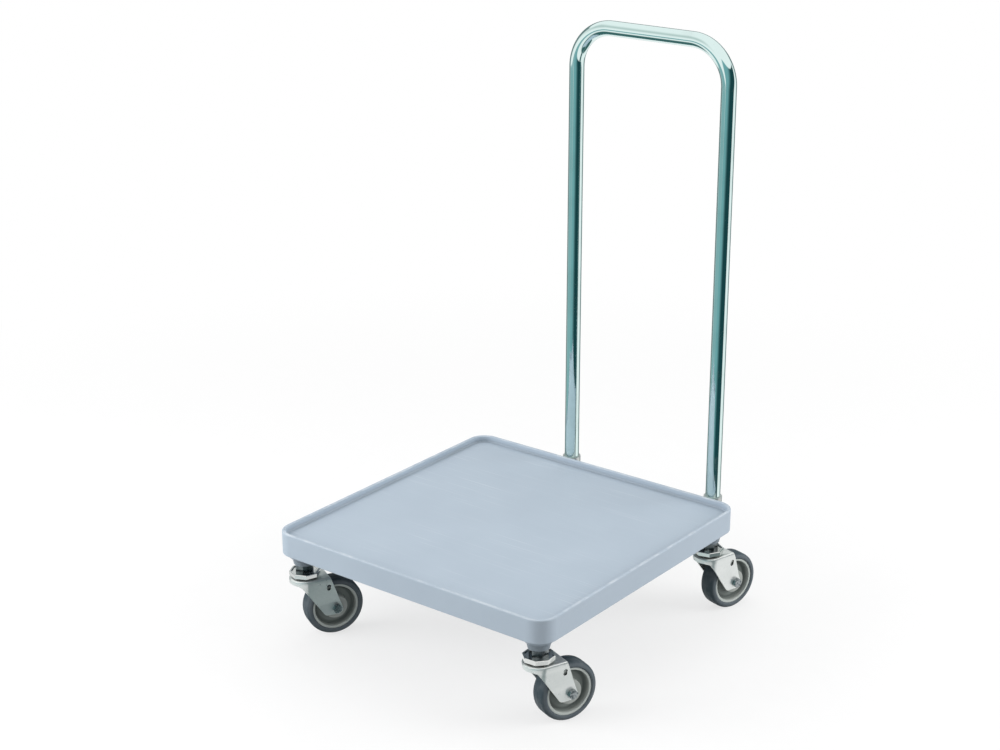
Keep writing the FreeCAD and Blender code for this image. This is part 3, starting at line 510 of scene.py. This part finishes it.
# The cut edge round each window is painted near black and not metallic, as the shade inside the window.
window_shade = fork_zinc.own("window_edge_shade")
zinc = fork_zinc.mix(0.5 * cloudy + 0.5 * spangle, paint(214, 219, 217), paint(246, 248, 246))
fork_zinc.surface_set(
    base_color=fork_zinc.mix(window_shade, zinc, paint(30, 34, 36)),
    metallic=(0.8 - 0.2 * scuff) * (1 - window_shade),
    roughness=0.24 + 0.12 * spangle + 0.12 * scuff,
    normal=fork_zinc.relief(spangle + 0.5 * fork_zinc.noise(600), 0.0001),
)


def joint_of(corner, motion):
    """One caster's joint in the frame, by its motion."""
    return next(joint for joint in frame["joints"] if joint["name"] == f"{corner}_{motion}")


def mark_windows(sheet, corner):
    """Marks the faces of the sheet's cut edge round the window in each leg, to be painted dark as shade."""
    roll = joint_of(corner, "wheel_roll")
    axle, axis = Vector(roll["pos_m"]), Vector(roll["axis"])
    to_stem = Vector(joint_of(corner, "swivel_turn")["pos_m"]) - axle
    to_stem.z = 0
    window = axle + MM * (WINDOW_SETBACK * to_stem.normalized() + Vector((0, 0, WINDOW_RISE)))
    edge_layer = sheet.faces.layers.float.new("window_edge_shade")
    sheet.normal_update()
    for face in sheet.faces:
        offset = face.calc_center_median() - window
        near = (offset - offset.project(axis)).length < WINDOW_REACH * MM
        face[edge_layer] = float(near and abs(face.normal.dot(axis)) < EDGE_TILT)


for corner in CORNERS:
    sheet = bmesh.new()
    sheet.from_mesh(frame["nodes"][f"{corner}_fork"].data)
    bmesh.ops.remove_doubles(sheet, verts=sheet.verts, dist=SAME_PLACE)
    for bend in SHEET_BENDS:
        for side in (-BEND_REACH, BEND_REACH):
            bmesh.ops.bisect_plane(sheet, geom=sheet.verts[:] + sheet.edges[:] + sheet.faces[:],
                                   dist=SAME_PLACE, plane_co=(0, 0, (bend + side) * MM), plane_no=(0, 0, 1))
    mark_windows(sheet, corner)
    fork = add_piece(f"{corner}_pressed_fork", sheet, fork_zinc, f"{corner}_swivel", "fork_zinc",
                     f"{corner}_fork", crisp=20)
    fork.data.attributes.remove(fork.data.attributes["custom_normal"])

# Axle bolts, nuts and sleeves
# A hexagon bolt through both legs clamps the steel sleeve on which the wheel runs.
# Its nut has a round locking collar on top; all are zinc plated, and the bolts and nuts are darker in
# patches.

AXLE_FLATS = 14.3
AXLE_RADIUS = 4.75
AXLE_HEAD = 6.0
AXLE_BEVEL = 0.8
LEG_FACE = 21.0
NUT_HEX = 6.6
NUT_HEIGHT = 9.0
NUT_COLLAR = 0.43
BOLT_END = 1.5
TURN_OVER = Matrix.Rotation(math.pi, 4, "X")


def wheel_place(corner):
    """Where a wheel's axle lies, with its own Z axis along the axle."""
    roll = joint_of(corner, "wheel_roll")
    turn = Vector((0, 0, 1)).rotation_difference(Vector(roll["axis"]))
    return Matrix.Translation(roll["pos_m"]) @ turn.to_matrix().to_4x4()


bolt_steel = Finish("bolt_steel")
bolt_dark_patches = bolt_steel.rise(bolt_steel.noise(240, 3), 0.4, 0.7)
bolt_steel.surface_set(
    base_color=bolt_steel.mix(bolt_dark_patches, paint(158, 164, 166), paint(104, 112, 116)),
    metallic=1,
    roughness=0.22 + 0.2 * bolt_dark_patches,
    normal=bolt_steel.relief(bolt_steel.noise(700), 0.00002),
)
collar = NUT_COLLAR * AXLE_FLATS
lock_nut = hexagon_head(AXLE_FLATS, NUT_HEX) + [
    (collar, NUT_HEX, "round"), (collar, NUT_HEIGHT - AXLE_BEVEL, "round"),
    (collar - AXLE_BEVEL, NUT_HEIGHT, "round"),
    (AXLE_RADIUS, NUT_HEIGHT, "round"), (AXLE_RADIUS, SHANK_INTO_HEAD, "round"),
]
bolt_end = -2 * LEG_FACE - NUT_HEIGHT - BOLT_END
for corner in CORNERS:
    near_leg = wheel_place(corner) @ Matrix.Translation((0, 0, -LEG_FACE * MM)) @ TURN_OVER
    far_leg = wheel_place(corner) @ Matrix.Translation((0, 0, LEG_FACE * MM))
    bolt = bmesh.new()
    stack_rings(bolt, hexagon_head(AXLE_FLATS, AXLE_HEAD), near_leg)
    stack_rings(bolt, rod(AXLE_RADIUS, bolt_end, SHANK_INTO_HEAD, AXLE_BEVEL), near_leg)
    add_piece(f"{corner}_hex_axle_bolt", bolt, bolt_steel, f"{corner}_swivel", "plated_steel",
              f"{corner}_axle_bolt")
    nut = bmesh.new()
    stack_rings(nut, lock_nut, far_leg)
    add_piece(f"{corner}_axle_lock_nut", nut, bolt_steel, f"{corner}_swivel", "plated_steel",
              f"{corner}_axle_nut")
dress(plated_steel, *of_each("axle_sleeve"))

# Wheel bushes
# Plain nylon bearings are pressed into the hubs and turn on the steel sleeves.
# They are pale and slightly yellowed.

bush_nylon = Finish("bush_nylon")
bush_nylon.surface_set(
    base_color=bush_nylon.mix(bush_nylon.noise(90), paint(206, 202, 190), paint(222, 219, 208)),
    roughness=0.45 + 0.1 * bush_nylon.noise(300),
)
dress(bush_nylon, *of_each("wheel_bush"))

# Wheel hubs
# Each is moulded in pale grey nylon, with a boss, a thin web and the rim that the tyre is bonded to.
# Dust and painted shade darken the recess, most of all towards its outer edge, and the rim is paler.

SPIN_STEPS = 96
ROUND_STEPS = 5
BUSH_SEAT = 10.75
BOSS_RADIUS = 19.75
BOSS_HALF = 17.0
WEB_HALF = 4.0
DRAFT = 1.6
RIM_INSIDE = 36.2
RIM_RADIUS = 40.0
RIM_HALF = 14.0
RECESS = (20.5, 34.9)
RECESS_EDGE_DARK = (30.0, 35.2)
RIM_PALER = (35.2, 36.4)


def lathe(profile, place):
    """Spins a closed outline in millimetres: radius, place along the axle, and rounding of that corner."""
    bm = bmesh.new()
    corners = [bm.verts.new((radius * MM, 0, along * MM)) for radius, along, rounding in profile]
    edges = [bm.edges.new(pair) for pair in zip(corners, corners[1:] + corners[:1])]
    bmesh.ops.spin(bm, geom=corners + edges, cent=(0, 0, 0), axis=(0, 0, 1), angle=math.tau,
                   steps=SPIN_STEPS, use_merge=True)
    bmesh.ops.remove_doubles(bm, verts=bm.verts, dist=SAME_PLACE)
    bmesh.ops.recalc_face_normals(bm, faces=bm.faces)
    for radius, along, rounding in profile:
        def on_ring(vert):
            out = abs(vert.co.xy.length - radius * MM)
            return out < SAME_PLACE and abs(vert.co.z - along * MM) < SAME_PLACE
        ring = [edge for edge in bm.edges if all(on_ring(vert) for vert in edge.verts)]
        if rounding:
            bmesh.ops.bevel(bm, geom=ring, offset=rounding * MM, offset_type="OFFSET", segments=ROUND_STEPS,
                            profile=0.5, affect="EDGES", material=-1, clamp_overlap=True)
    radius_layer = bm.verts.layers.float.new("radius")
    for vert in bm.verts:
        vert[radius_layer] = vert.co.xy.length / MM
    bmesh.ops.transform(bm, matrix=place, verts=bm.verts)
    return bm


def both_sides(half):
    """A profile from its near half, mirrored to the far side."""
    return half + [(radius, -along, rounding) for radius, along, rounding in reversed(half)]


hub_half = [
    (BUSH_SEAT, BOSS_HALF, 0.4), (BOSS_RADIUS, BOSS_HALF, 0.8), (BOSS_RADIUS + DRAFT, WEB_HALF, 1.2),
    (RIM_INSIDE - DRAFT, WEB_HALF, 2.0), (RIM_INSIDE, RIM_HALF, 0.6), (RIM_RADIUS, RIM_HALF, 0.4),
]

hub_plastic = Finish("hub_plastic")
hub_radius = hub_plastic.own("radius")
flow = hub_plastic.noise(40, 3)
# The recess is painted darker for dust and for the shade that falls in it, darker still near the rim.
recess_dust_and_shade = hub_plastic.band(hub_radius, *RECESS, 1.0)
recess_edge_dust_and_shade = hub_plastic.band(hub_radius, *RECESS_EDGE_DARK, 2.0)
rim_paler = hub_plastic.rise(hub_radius, *RIM_PALER)
hub_colour = hub_plastic.mix(flow, paint(157, 162, 158), paint(171, 176, 172))
hub_recess_darkened = hub_plastic.mix(recess_dust_and_shade * 0.8, hub_colour, paint(109, 117, 114))
hub_edge_darkened = hub_plastic.mix(recess_edge_dust_and_shade * 0.7, hub_recess_darkened, paint(69, 76, 74))
hub_plastic.surface_set(
    base_color=hub_plastic.mix(rim_paler * 0.8, hub_edge_darkened, paint(192, 199, 195)),
    roughness=0.42 + 0.2 * flow,
    normal=hub_plastic.relief(hub_plastic.noise(800), 0.00008),
)
for corner in CORNERS:
    hub = lathe(both_sides(hub_half), wheel_place(corner))
    add_piece(f"{corner}_hub_moulding", hub, hub_plastic, f"{corner}_wheel", "hub_plastic",
              f"{corner}_wheel_hub")

# Tyres
# Solid grey rubber is moulded on the rims, with rounded shoulders and a fine joint line round the tread.
# The sides are paler than the tread, and dust lies over both.

TYRE_BORE = 40.05
TYRE_HALF = 16.0
LIP_RADIUS = 42.0
LIP_HALF = 14.8
TREAD_RADIUS = 49.85
SHOULDER = 6.8
JOINT_RADIUS = 50.0
JOINT_FOOT = 0.5
JOINT_TOP = 0.15
TREAD_DARK = (45.5, 49.0)

tyre_half = [
    (TYRE_BORE, LIP_HALF, 0.3), (LIP_RADIUS, TYRE_HALF, 0.6), (TREAD_RADIUS, TYRE_HALF, SHOULDER),
    (TREAD_RADIUS, JOINT_FOOT, 0), (JOINT_RADIUS, JOINT_TOP, 0),
]

tyre_rubber = Finish("tyre_rubber")
rubber_grain = tyre_rubber.noise(700, 2)
dusty = tyre_rubber.rise(tyre_rubber.noise(50, 4), 0.4, 0.7)
tread = tyre_rubber.rise(tyre_rubber.own("radius"), *TREAD_DARK)
rubber = tyre_rubber.mix(tread, paint(86, 95, 101), paint(51, 64, 71))
tyre_rubber.surface_set(
    base_color=tyre_rubber.mix(dusty * 0.45, rubber, paint(100, 105, 110)),
    roughness=0.55 + 0.2 * rubber_grain,
    normal=tyre_rubber.relief(rubber_grain + 0.6 * tyre_rubber.noise(180), 0.0001),
)
for corner in CORNERS:
    tyre = lathe(both_sides(tyre_half), wheel_place(corner))
    add_piece(f"{corner}_tyre_moulding", tyre, tyre_rubber, f"{corner}_wheel", "tyre_rubber",
              f"{corner}_tyre")

# Floor
# A plain pale floor that takes the dolly's soft shadow and fades into the white background.
# To the camera it looks paler than the light that it throws back on the dolly.

FLOOR_SIDE = 40.0
FADE_NEAR = 0.8
FADE_FAR = 2.0
FLOOR_WHITE = 0.7
FLOOR_BOUNCE = 0.35


def grey(light):
    """A neutral colour by its share of light."""
    return (light, light, light, 1)


floor_mesh = bmesh.new()
bmesh.ops.create_grid(floor_mesh, x_segments=1, y_segments=1, size=FLOOR_SIDE / 2,
                      matrix=Matrix.Translation((0, 0, cad_box[0].z)))
floor_data = bpy.data.meshes.new("floor")
floor_mesh.to_mesh(floor_data)
floor_mesh.free()
floor = bpy.data.objects.new("floor", floor_data)
floor.visible_glossy = False
bpy.context.scene.collection.objects.link(floor)

pale_floor = Finish("pale_floor")
floor_seen = pale_floor.add("LightPath", {}, {}, "Is Camera Ray")
floor_colour = pale_floor.mix(pale_floor.noise(30, 3), grey(0.82), grey(0.86))
pale_floor.surface_set(
    base_color=pale_floor.mix(floor_seen, grey(FLOOR_BOUNCE), floor_colour),
    roughness=0.8,
)
flat_place = pale_floor.add("VectorMath", {"operation": "MULTIPLY"}, {0: pale_floor.place, 1: (1, 1, 0)})
reach = pale_floor.add("VectorMath", {"operation": "LENGTH"}, {0: flat_place}, "Value")
white_share = FLOOR_WHITE + (1 - FLOOR_WHITE) * pale_floor.rise(reach, FADE_NEAR, FADE_FAR)
lit = Value(pale_floor, pale_floor.surface.outputs[0])
white = pale_floor.add("Emission", {}, {"Color": grey(1), "Strength": 1})
faded = pale_floor.add("MixShader", {}, {0: floor_seen * white_share, 1: lit, 2: white})
pale_floor.feed(pale_floor.tree.nodes["Material Output"].inputs["Surface"], faded)
floor_data.materials.append(pale_floor.material)

# Studio
# A white room with a soft lamp on either side of the camera and a weaker one above.
# In polished metal its walls show teal stretches before the dolly and to its left, and a dim ground.

# Bearings in radians to the right of the camera's own, and levels as the sine of the height
FRONT_WALL = (-1.0, 1.15)
SHADE_START = (-0.6, 0.2)
SHADE_END = (1.08, 1.2)
LEFT_WALL = (-2.0, -0.95)
LEFT_SHELF = (-1.9, -0.9)
LEFT_GROUND = (-2.3, -1.0)
RIGHT_FOOT = (0.46, 0.93)
BACK_WALL = (1.9, 2.2)
BACK_GROUND = (2.2, 2.5)
WALL_LEVELS = (-0.42, 0.42)
FOOT_LEVELS = (-0.74, -0.42)
LEFT_WALL_LEVELS = (-0.40, -0.185)
SHELF_LEVELS = (0.22, 0.62)
LEFT_GROUND_LEVELS = (-0.68, -0.54)
GROUND_LEVELS = (-0.76, -0.68)
WALL_LEAN = 0.9
LEAN_LEVEL = -0.3
ROOM_FILL = 0.66

VIEW_AZIMUTH = math.radians(37.7)
to_camera = Vector((math.sin(VIEW_AZIMUTH), -math.cos(VIEW_AZIMUTH), 0))
camera_right = Vector((math.cos(VIEW_AZIMUTH), math.sin(VIEW_AZIMUTH), 0))

world = bpy.data.worlds.new("studio")
world.use_nodes = True
bpy.context.scene.world = world


class Room(Finish):
    """The studio seen in every direction, as the nodes of the world."""

    def __init__(self):
        self.tree = world.node_tree
        self.surface = self.tree.nodes["Background"]
        self.place = self.add("TexCoord", {}, {}, "Generated")


room = Room()
towards = room.add("VectorMath", {"operation": "DOT_PRODUCT"}, {0: room.place, 1: to_camera}, "Value")
sideways = room.add("VectorMath", {"operation": "DOT_PRODUCT"}, {0: room.place, 1: camera_right}, "Value")
bearing = room.add("Math", {"operation": "ARCTAN2"}, {0: sideways, 1: towards})
around = room.add("Math", {"operation": "ABSOLUTE"}, {0: bearing})
level = room.along("Z")
pale_wall = grey(1)
lean = bearing - WALL_LEAN * (level - LEAN_LEVEL)
front = room.mix(room.band(lean, *FRONT_WALL, 0.06), pale_wall, paint(122, 172, 176))
shade = room.rise(lean, *SHADE_START) * (1 - room.rise(lean, *SHADE_END))
shaded_front = room.mix(shade, front, paint(28, 68, 72))
walls = room.mix(room.rise(around, *BACK_WALL), shaded_front, paint(120, 138, 138))
feet = room.mix(room.band(bearing, *RIGHT_FOOT, 0.08), pale_wall, paint(84, 108, 110))
left_wall = room.band(bearing, *LEFT_WALL, 0.06) * room.band(level, *LEFT_WALL_LEVELS, 0.012)
left_shelf = room.band(bearing, *LEFT_SHELF, 0.2) * room.band(level, *SHELF_LEVELS, 0.18)
left_ground = room.band(bearing, *LEFT_GROUND, 0.2) * (1 - room.rise(level, *LEFT_GROUND_LEVELS))
ground = (1 - room.rise(level, *GROUND_LEVELS)) * (1 - room.rise(around, *BACK_GROUND))

seen = room.mix(room.band(level, *FOOT_LEVELS, 0.03), pale_wall, feet)
seen = room.mix(room.band(level, *WALL_LEVELS, 0.03), seen, walls)
seen = room.mix(left_wall, seen, paint(140, 180, 183))
seen = room.mix(left_shelf, seen, paint(206, 216, 214))
seen = room.mix(left_ground.most(ground), seen, paint(64, 104, 104))

room_seen = room.add("LightPath", {}, {}, "Is Camera Ray")
glossy_ray = room.add("LightPath", {}, {}, "Is Glossy Ray")
clear_ray = room.add("LightPath", {}, {}, "Is Transmission Ray")
fill = room.mix(glossy_ray + clear_ray, grey(ROOM_FILL), seen)
room.feed(room.surface.inputs["Color"], room.mix(room_seen, fill, grey(1)))


def softbox(name, turn, lift, distance, side, power):
    """A square soft lamp that faces the dolly, turned and lifted in degrees from the camera's bearing."""
    swing, rise = math.radians(turn), math.radians(lift)
    outward = to_camera * math.cos(swing) + camera_right * math.sin(swing)
    place = distance * (outward * math.cos(rise) + Vector((0, 0, math.sin(rise))))
    lamp = bpy.data.lights.new(name, "AREA")
    lamp.shape = "SQUARE"
    lamp.size = side
    lamp.energy = power
    holder = bpy.data.objects.new(name, lamp)
    holder.location = place
    holder.rotation_euler = (-place).to_track_quat("-Z", "Y").to_euler()
    holder.visible_glossy = False
    bpy.context.scene.collection.objects.link(holder)


softbox("left_softbox", turn=-78, lift=20, distance=2.6, side=1.6, power=50)
softbox("right_softbox", turn=84, lift=20, distance=3.0, side=1.8, power=57)
softbox("top_softbox", turn=180, lift=70, distance=2.8, side=1.8, power=14)

# Camera
# It looks down on the dolly over its front right corner, from eye height and a few steps away.
# Its long lens shows the dolly at the angle and size at which the photograph does.

VIEW_ELEVATION = math.radians(20)
PHOTO_WIDTH = 1000
FOCAL_PIXELS = 1986
SENSOR_WIDTH = 36
EYE_DISTANCE = 3.2302
EYE_ACROSS = -0.0153
EYE_UP = 0.0137
VIEW_CENTRE = Vector((0, 0, 0.25))

back = to_camera * math.cos(VIEW_ELEVATION) + Vector((0, 0, math.sin(VIEW_ELEVATION)))
camera_up = back.cross(camera_right)
eye = VIEW_CENTRE + camera_right * EYE_ACROSS + camera_up * EYE_UP + back * EYE_DISTANCE
lens = bpy.data.cameras.new("photo_camera")
lens.sensor_width = SENSOR_WIDTH
lens.lens = FOCAL_PIXELS * SENSOR_WIDTH / PHOTO_WIDTH
camera = bpy.data.objects.new("photo_camera", lens)
turn = Matrix((camera_right, camera_up, back)).transposed().to_4x4()
camera.matrix_world = Matrix.Translation(eye) @ turn
bpy.context.scene.collection.objects.link(camera)
bpy.context.scene.camera = camera
bpy.context.scene.view_settings.view_transform = "Standard"
